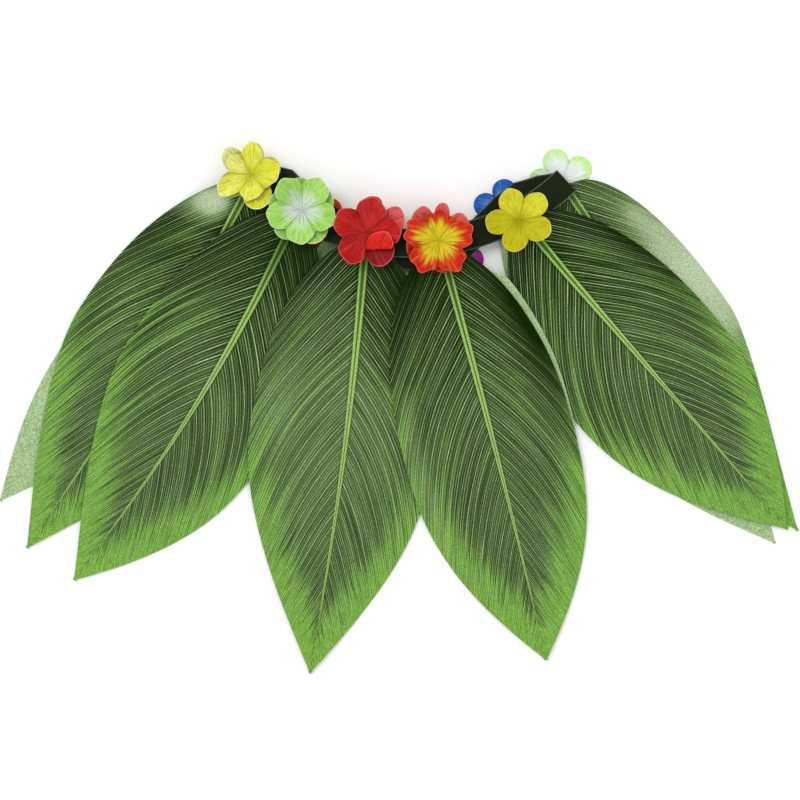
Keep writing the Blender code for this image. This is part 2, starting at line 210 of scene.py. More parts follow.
def leafPrintMaterial(name, look):
    material, tree, shader = newMaterial(name, look["roughness"])
    vein = attribute(tree, "vein")      # the same all along one vein, mm
    across = attribute(tree, "across")
    along = attribute(tree, "along")
    beside = attribute(tree, "beside")  # distance from the midrib, mm
    seed = attribute(tree, "seed")
    tone = attribute(tree, "tone")      # above 0 the cloth catches light, below 0 it is shaded
    out = calc(tree, "ABSOLUTE", across)
    side = calc(tree, "SIGN", across)
    sideSeed = calc(tree, "MULTIPLY_ADD", side, 3.7, seed)

    # broad and narrow streaks that run with the veins
    def streaks(width, stretch, detail):
        place = combine(tree, calc(tree, "DIVIDE", vein, width),
                        calc(tree, "MULTIPLY", out, stretch), sideSeed)
        return noise(tree, place, 1.0, detail, 0.6)

    broad = streaks(look["streaks"][0], 1.3, 2.0)
    narrow = streaks(look["streaks"][1], 1.6, 1.0)
    fine = streaks(look["streaks"][2], 2.5, 1.0)

    # a strong vein and finer ones between, each with a dark line beside it
    wobble = calc(tree, "MULTIPLY", calc(tree, "SUBTRACT", broad, 0.5), 0.45)
    count = calc(tree, "ADD", calc(tree, "DIVIDE", vein, look["veinGap"]), wobble)
    count = calc(tree, "ADD", count, sideSeed)

    def lineAt(shift, repeat, half, soft):
        place = calc(tree, "MULTIPLY", calc(tree, "ADD", count, shift), repeat)
        return soften(tree, calc(tree, "PINGPONG", place, 0.5), half, half + soft, 1.0, 0.0)

    strong = lineAt(0.0, 1.0, 0.020, 0.035)
    strongShade = lineAt(0.085, 1.0, 0.03, 0.07)
    thin = lineAt(0.0, 3.0, 0.05, 0.11)
    thinShade = lineAt(0.075, 3.0, 0.09, 0.17)

    # dark near the waist and down the shoulders, partly the print's dark base and partly painted
    # shade, green in the middle, lighter where lit by painted light
    drop = calc(tree, "SUBTRACT", along, calc(tree, "MULTIPLY", soften(tree, out, 0.55, 1.0), 0.16))
    drop = calc(tree, "MULTIPLY_ADD", calc(tree, "SUBTRACT", broad, 0.5), 0.20, drop)
    color = mix(tree, soften(tree, drop, -0.06, 0.40), look["base"], look["middle"])
    pale = calc(tree, "MULTIPLY", soften(tree, broad, 0.47, 0.68), soften(tree, drop, 0.08, 0.35))
    pale = calc(tree, "MULTIPLY", pale, soften(tree, out, 0.15, 0.8, 0.25, 0.95))
    lit = calc(tree, "MULTIPLY", tone, look["litShare"], clamp=True)
    pale = calc(tree, "ADD", pale, lit, clamp=True)
    color = mix(tree, pale, color, look["light"])

    # bright margins that start half way down, widen to the tip and end in feathered streaks
    reach = calc(tree, "MULTIPLY_ADD", along, 1.5, out)
    reach = calc(tree, "MULTIPLY_ADD", calc(tree, "SUBTRACT", broad, 0.5), 0.60, reach)
    reach = calc(tree, "MULTIPLY_ADD", calc(tree, "SUBTRACT", narrow, 0.5), 0.50, reach)
    reach = calc(tree, "MULTIPLY_ADD", calc(tree, "SUBTRACT", fine, 0.5), 0.35, reach)
    reach = calc(tree, "MULTIPLY_ADD", soften(tree, along, 0.70, 1.0), 0.42, reach)
    marginShare = soften(tree, reach, *look["marginEdge"])
    color = mix(tree, marginShare, color, look["margin"])
    darkShare = calc(tree, "MULTIPLY", soften(tree, fine, 0.52, 0.34), look["darkStreaks"])
    darkFade = soften(tree, reach, 1.60, 2.30, 1.0, 0.50)
    color = mix(tree, calc(tree, "MULTIPLY", darkShare, darkFade), color, look["base"])
    fade = soften(tree, marginShare, 0.2, 1.0, 1.0, 0.65)
    fade = calc(tree, "MULTIPLY", fade, soften(tree, out, 0.2, 1.0, 1.0, 0.75))
    fade = calc(tree, "MULTIPLY", fade, soften(tree, along, 0.80, 0.97, 1.0, 0.45))
    thinFade = calc(tree, "MULTIPLY", soften(tree, narrow, 0.30, 0.62, 0.20, 1.0),
                    look["thinShare"])
    for line, share, lightAndShade in ((thinShade, look["thinShadeShare"], "base"),
                              (strongShade, look["strongShadeShare"], "base"),
                              (thin, thinFade, "vein"),
                              (strong, look["strongShare"], "vein")):
        color = mix(tree, calc(tree, "MULTIPLY", calc(tree, "MULTIPLY", line, share), fade),
                    color, look[lightAndShade])

    # midrib: two light lines with a dark centre, closing towards the tip
    ribHalf = soften(tree, along, 0.0, 0.95, 3.5, 0.60)
    ribPlace = calc(tree, "DIVIDE", beside, ribHalf)
    ribEnd = soften(tree, along, 0.80, 0.96, 1.0, 0.0)
    ribShade = soften(tree, ribPlace, 1.0, 2.2, 0.55, 0.0)
    color = mix(tree, calc(tree, "MULTIPLY", ribShade, ribEnd), color, look["base"])
    rib = calc(tree, "MULTIPLY", soften(tree, ribPlace, 0.80, 1.12, 1.0, 0.0), ribEnd)
    color = mix(tree, rib, color, look["midrib"])
    centrePlace = calc(tree, "DIVIDE", ribPlace, soften(tree, along, 0.0, 0.30, 0.62, 0.24))
    centre = calc(tree, "MULTIPLY", soften(tree, centrePlace, 0.55, 1.15, 1.0, 0.0), ribEnd)
    color = mix(tree, calc(tree, "MULTIPLY", centre, 0.9), color, look["midribCentre"])

    # painted shade and painted glare where the leaf turns away from and toward the lamp, a painted
    # sheen over the middle, then the woven cloth
    shaded = calc(tree, "MULTIPLY", tone, -1.0, clamp=True)
    color = mix(tree, shaded, color, look["base"])
    paintedSheen = calc(tree, "MULTIPLY_ADD", lit, 0.20, soften(tree, drop, 0.15, 0.50, 0.0, look["paintedSheen"]))
    color = mix(tree, paintedSheen, color, look["glare"])
    point = objectPoint(tree)
    weave = noise(tree, point, look["weave"], 2.0, 0.75)
    glare = calc(tree, "MULTIPLY_ADD", calc(tree, "SUBTRACT", weave, 0.5), 0.5, tone)
    color = mix(tree, calc(tree, "MULTIPLY", glare, soften(tree, tone, 0.28, 0.62), clamp=True),
                color, look["glare"])
    speckle = soften(tree, weave, 0.30, 0.70, *look["speckle"])
    color = mix(tree, 1.0, color, combine(tree, speckle, speckle, speckle), "MULTIPLY")
    tree.links.new(color, shader.inputs["Base Color"])
    shader.inputs["Specular IOR Level"].default_value = look["specular"]
    relief = calc(tree, "MULTIPLY_ADD", strong, 0.7, calc(tree, "MULTIPLY", weave, 0.5))
    bump(tree, shader, relief, look["relief"], 0.0003)
    return material


leafUnderside = dict(
    shade=(0.120, 0.230, 0.070),
    light=(0.520, 0.680, 0.370),
    cloud=(0.420, 0.620, 0.260),
    vein=(0.160, 0.260, 0.100),
    midrib=(0.300, 0.500, 0.160),
    roughness=0.75,
    sheen=0.15,
    weave=850.0,
    cloudShare=0.30,
    veinShare=0.14,  # the print barely shows through
    midribShare=0.30,
)


def leafUndersideMaterial(name, look):
    material, tree, shader = newMaterial(name, look["roughness"])
    point = objectPoint(tree)
    weave = noise(tree, point, look["weave"], 3.0, 0.75)
    cloud = noise(tree, point, 30.0, 3.0)
    vein = attribute(tree, "vein")
    along = attribute(tree, "along")
    beside = attribute(tree, "beside")
    color = mix(tree, soften(tree, weave, 0.34, 0.66), look["shade"], look["light"])
    color = mix(tree, calc(tree, "MULTIPLY", cloud, look["cloudShare"]), color, look["cloud"])
    lines = calc(tree, "PINGPONG", calc(tree, "DIVIDE", vein, leafPrint["veinGap"]), 0.5)
    color = mix(tree, soften(tree, lines, 0.02, 0.10, look["veinShare"], 0.0), color,
                look["vein"])
    rib = soften(tree, calc(tree, "DIVIDE", beside, soften(tree, along, 0.0, 0.95, 3.0, 0.5)),
                 0.7, 1.1, 1.0, 0.0)
    color = mix(tree, calc(tree, "MULTIPLY", rib, look["midribShare"]), color, look["midrib"])
    tree.links.new(color, shader.inputs["Base Color"])
    shader.inputs["Sheen Weight"].default_value = look["sheen"]
    bump(tree, shader, weave, 0.3, 0.0002)
    return material


# A side of a leaf has its half width, how bluntly it closes at the tip, and how slowly it opens
# from the base
leafCut = dict(widest=0.47, endHalf=1.2, wall=0.55, solidWall=1.0, ribRise=0.5,
               ribHalf=0.05, rows=130, halfColumns=24, reach=5, slope=0.22)


def leafHalfWidth(along, side):
    reach, blunt, shoulder = side
    if along < leafCut["widest"]:
        share = math.sin(math.pi / 2 * (along / leafCut["widest"]) ** shoulder)
    else:
        past = (along - leafCut["widest"]) / (1 - leafCut["widest"])
        share = math.cos(math.pi / 2 * past ** blunt)
    return max(reach * share, leafCut["endHalf"])


def veinPlace(across, along, beside, length):
    # the same all along one vein, which leaves the midrib at 42 degrees near the waist and at 22
    # near the tip, and bends down along the margin
    low = min(max((along - 0.28) / 0.72, 0.0), 1.0)
    steep = 1.1 + 1.5 * low * low * (3 - 2 * low) + 0.5 * (across * (1 - along)) ** 2
    return along * length - abs(beside) * steep


# spots of painted light and shade on a leaf, each with its place across and along, its width, its
# length and its strength: above 0 painted light, below 0 painted shade
def paintedLightAt(spots, across, along):
    return sum(strength * math.exp(-((across - x) / wide) ** 2 - ((along - y) / tall) ** 2)
               for x, y, wide, tall, strength in spots)


def troughDepth(troughs, across, along):
    # soft creases, each straight between two places on the leaf
    depth = 0.0
    for x0, y0, x1, y1, half, deep in troughs:
        dx, dy = x1 - x0, y1 - y0
        share = ((across - x0) * dx + (along - y0) * dy) / (dx * dx + dy * dy)
        share = min(max(share, 0.0), 1.0)
        away = math.hypot(across - x0 - dx * share, along - y0 - dy * share) / half
        depth += deep * math.exp(-away * away) * math.sin(math.pi * min(max(share, 0.08), 0.92))
    return depth


def gridMesh(name, top, bottom, topSlot, bottomSlot):
    # a closed cloth wall between two grids of points
    rows, columns = top.shape[:2]
    count = rows * columns
    verts = np.concatenate((top.reshape(-1, 3), bottom.reshape(-1, 3))) * mm
    faces = []
    for row in range(rows - 1):
        for column in range(columns - 1):
            a = row * columns + column
            b, c, d = a + 1, a + columns + 1, a + columns
            faces.append((a, b, c, d))
            faces.append((a + count, d + count, c + count, b + count))
    border = list(range(columns))
    border += [row * columns + columns - 1 for row in range(1, rows)]
    border += [(rows - 1) * columns + column for column in range(columns - 2, -1, -1)]
    border += [row * columns for row in range(rows - 2, 0, -1)]
    for here, after in zip(border, border[1:] + border[:1]):
        faces.append((after, here, here + count, after + count))
    mesh = bpy.data.meshes.new(name)
    mesh.from_pydata(verts.tolist(), [], faces)
    mesh.update()
    slots = [topSlot, bottomSlot] * ((rows - 1) * (columns - 1)) + [bottomSlot] * len(border)
    mesh.polygons.foreach_set("material_index", slots)
    return mesh


def floatAttribute(mesh, name, values):
    layer = mesh.attributes.new(name, "FLOAT", "POINT")
    layer.data.foreach_set("value", np.asarray(values, dtype=np.float32).ravel())


def finishMesh(name, mesh, materials):
    for material in materials:
        mesh.materials.append(material)
    piece = bpy.data.objects.new(name, mesh)
    bpy.context.scene.collection.objects.link(piece)
    work = bmesh.new()
    work.from_mesh(mesh)
    bmesh.ops.recalc_face_normals(work, faces=work.faces)
    work.to_mesh(mesh)
    work.free()
    mesh.shade_smooth()
    mesh.set_sharp_from_angle(angle=math.radians(50))
    return piece


def makeLeaf(leaf, materials):
    below = restingHeight(leaf["liesOn"], leafCut["reach"], leafCut["slope"])
    base, tip = np.array(leaf["base"]), np.array(leaf["tip"])
    length = float(np.linalg.norm(tip - base))
    down = (tip - base) / length
    sideways = np.array((-down[1], down[0]))
    half = leafCut["halfColumns"]
    acrossSteps = [math.sin(math.pi / 2 * (step / half)) * 0.35 + 0.65 * step / half
                   for step in range(-half, half + 1)]
    rows, columns = leafCut["rows"] + 1, len(acrossSteps)
    plan = np.zeros((rows, columns, 3))
    facts = {key: np.zeros((rows, columns)) for key in ("vein", "across", "along", "beside", "tone")}
    for row in range(rows):
        along = row / (rows - 1)
        stalk = min(1.0, along / leaf.get("stalk", 0.01)) ** 1.5
        widths = [max(leafHalfWidth(along, leaf[side]) * stalk, leafCut["endHalf"])
                  for side in ("left", "right")]
        bow = leaf["bow"] * math.sin(math.pi * along)
        for column, across in enumerate(acrossSteps):
            beside = across * widths[0 if across < 0 else 1]
            spot = base + down * along * length + sideways * (bow + beside)
            rise = leaf["arch"] * math.sin(math.pi * along) * (1 - across ** 2)
            rise += troughDepth(leaf["creases"], across, along)
            rise += leaf["wave"] * across ** 4 * (1 + math.sin(along * leaf["waves"] * 2 * math.pi
                                                              + across * 2)) * min(1, 3 * along)
            plan[row, column] = (*spot, rise)
            facts["vein"][row, column] = veinPlace(across, along, beside, length)
            facts["tone"][row, column] = paintedLightAt(leaf["tones"], across, along)
            facts["across"][row, column] = across
            facts["along"][row, column] = along
            facts["beside"][row, column] = abs(beside)
    bottom = plan.copy()
    bottom[..., 2] += heightAt(below, plan[..., 0], plan[..., 1])
    ribShare = np.clip(1 - np.abs(facts["across"]) / leafCut["ribHalf"], 0, 1)
    top = bottom.copy()
    top[..., 2] += leafCut["wall"] + leafCut["ribRise"] * ribShare * (1 - facts["along"])
    solidTop = bottom.copy()
    solidTop[..., 2] += leafCut["solidWall"] + leafCut["ribRise"] * ribShare
    stampTop(leaf["name"], solidTop, 4)
    mesh = gridMesh("cloth_" + leaf["name"], top, bottom, 0, 1)
    for key, values in facts.items():
        floatAttribute(mesh, key, np.concatenate((values.ravel(), values.ravel())))
    floatAttribute(mesh, "seed", np.full(rows * columns * 2, leaf["seed"]))
    piece = finishMesh("cloth_" + leaf["name"], mesh, materials)
    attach(piece, "root")
    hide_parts(leaf["name"])
    return piece


# Waistband ribbon
ribbonSize = dict(x=10.0, y=341.0, radius=197.0, left=-44.0, right=43.0, half=12.6, wall=0.6,
                  backLevel=5.2, frontLevel=11.4, steps=120, foldSteps=10, foldSeam=4.0)
backRun = [(-44.0, 189.0), (-38.0, 180.0), (-21.0, 190.0), (-2.4, 207.0), (7.2, 209.0),
           (13.0, 204.0), (18.2, 194.5), (25.3, 185.0), (32.2, 182.0), (39.0, 189.0),
           (43.0, 197.0)]  # angle, radius


ribbonSatin = dict(dark=(0.003, 0.006, 0.001), light=(0.012, 0.019, 0.004),
                   highlightedEdge=(0.16, 0.20, 0.14), highlightedEdgeShare=0.60, roughness=0.34, specular=0.10,
                   ribs=5200.0, weave=1400.0)


def ribbonMaterial(name, look):
    material, tree, shader = newMaterial(name, look["roughness"])
    along = attribute(tree, "along")
    across = attribute(tree, "across")
    ribs = calc(tree, "SINE", calc(tree, "MULTIPLY", along, look["ribs"]))
    out = calc(tree, "ABSOLUTE", across)
    # painted highlight along both edges of the ribbon; the same band is raised a little in the bump
    highlightedEdge = soften(tree, out, 0.88, 0.99)
    weave = noise(tree, objectPoint(tree), look["weave"], 2.0, 0.6)
    color = mix(tree, soften(tree, weave, 0.35, 0.65), look["dark"], look["light"])
    color = mix(tree, calc(tree, "MULTIPLY", highlightedEdge, look["highlightedEdgeShare"]), color, look["highlightedEdge"])
    tree.links.new(color, shader.inputs["Base Color"])
    shader.inputs["Specular IOR Level"].default_value = look["specular"]
    shader.inputs["Anisotropic"].default_value = 0.5
    bump(tree, shader, calc(tree, "MULTIPLY_ADD", ribs, 0.5, highlightedEdge), 0.3, 0.0002)
    return material


def makeRibbonRun(name, node, radii, level, foldSign, material):
    size = ribbonSize
    angles = [row[0] for row in radii]
    distances = [row[1] for row in radii]
    foldRadius = (size["frontLevel"] - size["backLevel"]) / 2
    middleLevel = (size["frontLevel"] + size["backLevel"]) / 2
    points, widths = [], []

    def add(angle, outward, height):
        turn = math.radians(angle)
        radial = np.array((math.sin(turn), -math.cos(turn), 0.0))
        tangent = np.array((math.cos(turn), math.sin(turn), 0.0))
        radius = float(np.interp(angle, angles, distances))
        spot = np.array((size["x"], size["y"], 0.0)) + radial * radius + tangent * outward
        spot[2] = height
        points.append(spot)
        widths.append(radial)

    span = math.pi / 2 - math.radians(size["foldSeam"])
    foldTurns = [span * step / size["foldSteps"] for step in range(1, size["foldSteps"] + 1)]
    for turn in reversed(foldTurns):
        add(size["left"], -foldRadius * math.sin(turn),
            middleLevel + foldSign * foldRadius * math.cos(turn))
    for step in range(size["steps"] + 1):
        add(size["left"] + (size["right"] - size["left"]) * step / size["steps"], 0.0, level)
    for turn in foldTurns:
        add(size["right"], foldRadius * math.sin(turn),
            middleLevel + foldSign * foldRadius * math.cos(turn))
    points, widths = np.array(points), np.array(widths)
    tangents = np.gradient(points, axis=0)
    normals = np.cross(tangents, widths)
    normals /= np.linalg.norm(normals, axis=1)[:, None]
    shares = np.linspace(-1, 1, 13)
    centre = np.stack([points + widths * size["half"] * share for share in shares], axis=1)
    outer = centre + normals[:, None, :] * size["wall"] / 2
    inner = centre - normals[:, None, :] * size["wall"] / 2
    stampTop(node, centre + np.array((0.0, 0.0, 0.7)), 4)
    mesh = gridMesh(name, outer, inner, 0, 0)
    lengths = np.concatenate(((0.0,), np.cumsum(np.linalg.norm(np.diff(points, axis=0), axis=1))))
    alongValues = np.repeat(lengths * mm, len(shares))
    floatAttribute(mesh, "along", np.concatenate((alongValues, alongValues)))
    acrossValues = np.tile(shares, len(points))
    floatAttribute(mesh, "across", np.concatenate((acrossValues, acrossValues)))
    piece = finishMesh(name, mesh, [material])
    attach(piece, "root")
    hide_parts(node)
    return piece


# Cloth flowers
petalCut = dict(rings=20, steps=36, heart=0.03, wall=0.5, solidWall=1.4,
                reach=2, slope=0.9, curve=1.6, upperLift=3.0,
                besideClearance=0.6, seatReach=0.26)


def petalReach(offset, wide):
    # from the centre to the rim of a round petal of half width wide, at an angle off its middle
    middle = 1 - wide
    inside = max(wide * wide - (middle * math.sin(offset)) ** 2, 0.0)
    return middle * math.cos(offset) + math.sqrt(inside)


petalCloth = dict(roughness=0.48, sheen=0.04, specular=0.16, glow=0.20, glowDepth=0.0015,
                  weave=1600.0, relief=0.8)


def petalMaterial(name, look):
    material, tree, shader = newMaterial(name, petalCloth["roughness"])
    far = attribute(tree, "far")        # 0 at the centre, 1 at the rim
    place = attribute(tree, "place")    # -1 to 1 across a petal
    angle = attribute(tree, "angle")
    flap = attribute(tree, "flap")      # 1 where a petal is folded over
    # painted light and shade on the petals: above 0 paler, partly thin cloth and partly painted
    # light on petals that face the lamp; below 0 painted shade
    lightAndShade = attribute(tree, "lightAndShade")      # above 0 thin and pale, below 0 in the shade
    ray = noise(tree, combine(tree, calc(tree, "MULTIPLY", angle, 7.0),
                              calc(tree, "MULTIPLY", far, 0.7), 0.0), 1.0, 2.0, 0.6)
    shift = calc(tree, "MULTIPLY_ADD", calc(tree, "SUBTRACT", ray, 0.5), look["feather"], far)
    color = mix(tree, soften(tree, shift, look["inner"], look["outer"]), look["heart"],
                look["petal"])
    # pale streaks along the rays: partly the dye and partly painted highlights on the folds
    color = mix(tree, calc(tree, "MULTIPLY", soften(tree, ray, 0.50, 0.72), look["streaks"]),
                color, look["streakAndHighlight"])
    color = mix(tree, calc(tree, "MULTIPLY", flap, 0.8), color, look["back"])
    color = mix(tree, calc(tree, "MULTIPLY", lightAndShade, 1.0, clamp=True), color, look["pale"])
    light = calc(tree, "ADD", calc(tree, "MINIMUM", lightAndShade, 0.0), 1.0)
    color = mix(tree, 1.0, color, combine(tree, light, light, light), "MULTIPLY")
    # painted shade in the creases and along the sides of each petal
    crease = noise(tree, combine(tree, calc(tree, "MULTIPLY", angle, 11.0),
                                 calc(tree, "MULTIPLY", far, 2.2), 4.0), 1.0, 2.0, 0.6)
    side = soften(tree, calc(tree, "ABSOLUTE", place), 0.80, 1.0)
    color = mix(tree, calc(tree, "MULTIPLY", soften(tree, crease, 0.50, 0.34), look["creases"]),
                color, look["shade"])
    color = mix(tree, calc(tree, "MULTIPLY", side, look["creases"]), color, look["shade"])
    rim = soften(tree, far, 0.95, 0.99)
    color = mix(tree, calc(tree, "MULTIPLY", rim, look["rimShare"]), color, look["rim"])
    weave = noise(tree, objectPoint(tree), petalCloth["weave"], 2.0, 0.6)
    shade = soften(tree, weave, 0.3, 0.7, 0.88, 1.10)
    color = mix(tree, 1.0, color, combine(tree, shade, shade, shade), "MULTIPLY")
    tree.links.new(color, shader.inputs["Base Color"])
    shader.inputs["Sheen Weight"].default_value = petalCloth["sheen"]
    shader.inputs["Specular IOR Level"].default_value = petalCloth["specular"]
    shader.inputs["Subsurface Weight"].default_value = petalCloth["glow"]
    shader.inputs["Subsurface Scale"].default_value = petalCloth["glowDepth"]
    pleats = noise(tree, combine(tree, calc(tree, "MULTIPLY", place, 4.0), far, angle), 1.0, 2.0)
    relief = calc(tree, "MULTIPLY_ADD", crease, 0.8, calc(tree, "MULTIPLY_ADD", weave, 0.15, pleats))
    bump(tree, shader, relief, petalCloth["relief"], 0.0020)
    return material


def petalPlan(flower, layer):
    # one row of points for each ring; every petal is a sector that reaches half way to the next
    petals, steps, rings = layer["petals"], petalCut["steps"], petalCut["rings"]
    segments = len(petals) * steps
    radius = flower["radius"] * layer["scale"]
    plan = np.zeros((rings + 1, segments, 3))
    facts = {key: np.zeros((rings + 1, segments))
             for key in ("far", "place", "angle", "flap", "lightAndShade", "petal")}
    for segment in range(segments):
        petal = segment // steps
        middle, size, lightAndShade = petals[petal]
        place = (segment % steps) / steps * 2 - 1
        beside = petals[(petal + (1 if place > 0 else -1)) % len(petals)][0]
        gap = abs((beside - middle + 180) % 360 - 180) / 2
        rim = petalReach(place * math.pi / 5, layer["wide"]) * (1 + (size - 1) * (1 - place ** 4))
        rim *= 1 + layer["frill"] * math.sin(place * 8 + petal * 2.1) * (1 - place ** 4)
        for ring in range(rings + 1):
            far = petalCut["heart"] + (1 - petalCut["heart"]) * ring / rings
            pinch = 1 - layer["pinch"] * far * (1 - place ** 6)
            turn = math.radians(middle + place * gap * pinch)
            reach = radius * far * (1 + (rim - 1) * far)
            x, y = reach * math.cos(turn), reach * math.sin(turn)
            past = 0.0
            if petal == layer.get("foldPetal"):
                fold = math.radians(layer["foldTurn"])
                past = max(x * math.cos(fold) + y * math.sin(fold) - layer["foldAt"], 0.0)
                x -= 2 * past * math.cos(fold)
                y -= 2 * past * math.sin(fold)
            lifted = 1.6 * math.sin(min(past / 1.8, 1.0) * math.pi / 2)
            plan[ring, segment] = (flower["x"] + x, flower["y"] + y, lifted)
            for key, value in (("far", far), ("place", place), ("angle", turn),
                               ("flap", min(past, 1.0)), ("petal", petal),
                               ("lightAndShade", lightAndShade * min(1.0, far * 2) * (1 - place ** 8))):
                facts[key][ring, segment] = value
    return plan, facts


def petalForm(layer, facts):
    # each petal has its own lift, curled sides, curled tip, twist and pleats
    rng = np.random.default_rng(layer["seed"])
    far, place = facts["far"], facts["place"]
    which = facts["petal"].astype(int)
    count = len(layer["petals"])
    free = (1 - np.abs(place) ** 6) * far ** 2
    lift = rng.uniform(-0.4, 1.0, count)[which] * layer["ruffle"]
    sides = rng.uniform(0.5, 1.2, count)[which] * layer["sides"]
    tips = rng.uniform(0.2, 1.2, count)[which] * layer["tips"]
    twist = rng.uniform(-1.0, 1.0, count)[which] * layer["ruffle"]
    phase = rng.uniform(0.0, 6.0, count)[which]
    form = free * (lift + sides * (place ** 2 - 0.3) + twist * place * 0.8)
    form += free * tips * np.clip((far - 0.75) / 0.25, 0, 1) ** 2
    form += free * layer["ruffle"] * 0.55 * np.sin(place * layer["pleats"] + phase)
    form += free * layer["ruffle"] * 0.22 * np.sin(place * layer["pleats"] * 2.6 + phase * 3)
    form += far * (1 - far) * layer["ruffle"] * 0.8 * np.sin(place * 9.0 + phase * 2)
    form -= layer["groove"] * np.abs(place) ** 8 * far * (1.2 - far) * 2
    return form


def discMesh(name, top, bottom, facts):
    # a closed cloth wall of rings round a centre
    rings, segments = top.shape[:2]
    count = rings * segments
    verts = np.concatenate((top.reshape(-1, 3), bottom.reshape(-1, 3),
                            top[:1].mean(axis=1), bottom[:1].mean(axis=1))) * mm
    faces = []
    for segment in range(segments):
        after = (segment + 1) % segments
        faces.append((2 * count, segment, after))
        faces.append((2 * count + 1, after + count, segment + count))
        for ring in range(rings - 1):
            a, b = ring * segments + segment, ring * segments + after
            c, d = b + segments, a + segments
            faces.append((a, d, c, b))
            faces.append((a + count, b + count, c + count, d + count))
        last = (rings - 1) * segments
        faces.append((last + segment, last + segment + count, last + after + count, last + after))
    mesh = bpy.data.meshes.new(name)
    mesh.from_pydata(verts.tolist(), [], faces)
    mesh.update()
    for key in ("far", "place", "angle", "flap", "lightAndShade"):
        values = facts[key].ravel()
        floatAttribute(mesh, key, np.concatenate((values, values, (0.0, 0.0))))
    return mesh


def makePetals(flower, layer, node, seat, lift, liesOn, material):
    plan, facts = petalPlan(flower, layer)
    form = petalForm(layer, facts)
    bottom = plan.copy()
    if liesOn:
        x, y = plan[..., 0] - flower["x"], plan[..., 1] - flower["y"]
        reach = np.hypot(x, y) / flower["radius"]
        toward = math.radians(flower["tiltAngle"])
        own = seat + (flower["cup"] + lift) * reach ** petalCut["curve"] + form
        own += flower["tilt"] * (x * math.cos(toward) + y * math.sin(toward)) / flower["radius"]
        below = restingHeight(liesOn, petalCut["reach"], petalCut["slope"])
        beside = restingHeight(flower["beside"], petalCut["reach"], petalCut["slope"])
        floor = np.maximum(heightAt(below, plan[..., 0], plan[..., 1]),
                           heightAt(beside, plan[..., 0], plan[..., 1])
                           + petalCut["besideClearance"])
        bottom[..., 2] += np.maximum(own, floor + np.clip(form, -0.3, 1.2) * 0.5 + 0.2)
    else:
        bottom[..., 2] += 0.3 + np.clip(form, -0.1, 0.5) - 0.2 * facts["far"]
    top = bottom.copy()
    top[..., 2] += petalCut["wall"]
    solid = bottom.copy()
    solid[..., 2] += petalCut["solidWall"]
    stampTop(node, np.concatenate((solid, solid[:, :1]), axis=1), 3)
    piece = finishMesh("petals_" + node, discMesh("petals_" + node, top, bottom, facts), [material])
    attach(piece, "root")
    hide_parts(node)
    return piece


def makeCuppedFlower(flower, material):
    below = restingHeight(flower["liesOn"], petalCut["reach"], petalCut["slope"])
    reach = flower["radius"] * petalCut["seatReach"]
    ring = [(flower["x"] + reach * math.cos(turn), flower["y"] + reach * math.sin(turn))
            for turn in np.linspace(0, 2 * math.pi, 12)]
    seat = max(float(heightAt(below, np.array(x), np.array(y))) for x, y in ring)
    name = flower["name"]
    makePetals(flower, flower["lower"], name + "_lower", seat, 0.0, flower["liesOn"], material)
    makePetals(flower, flower["upper"], name + "_upper", seat + petalCut["solidWall"] + seam,
               petalCut["upperLift"], flower["liesOn"] + [name + "_lower"], material)


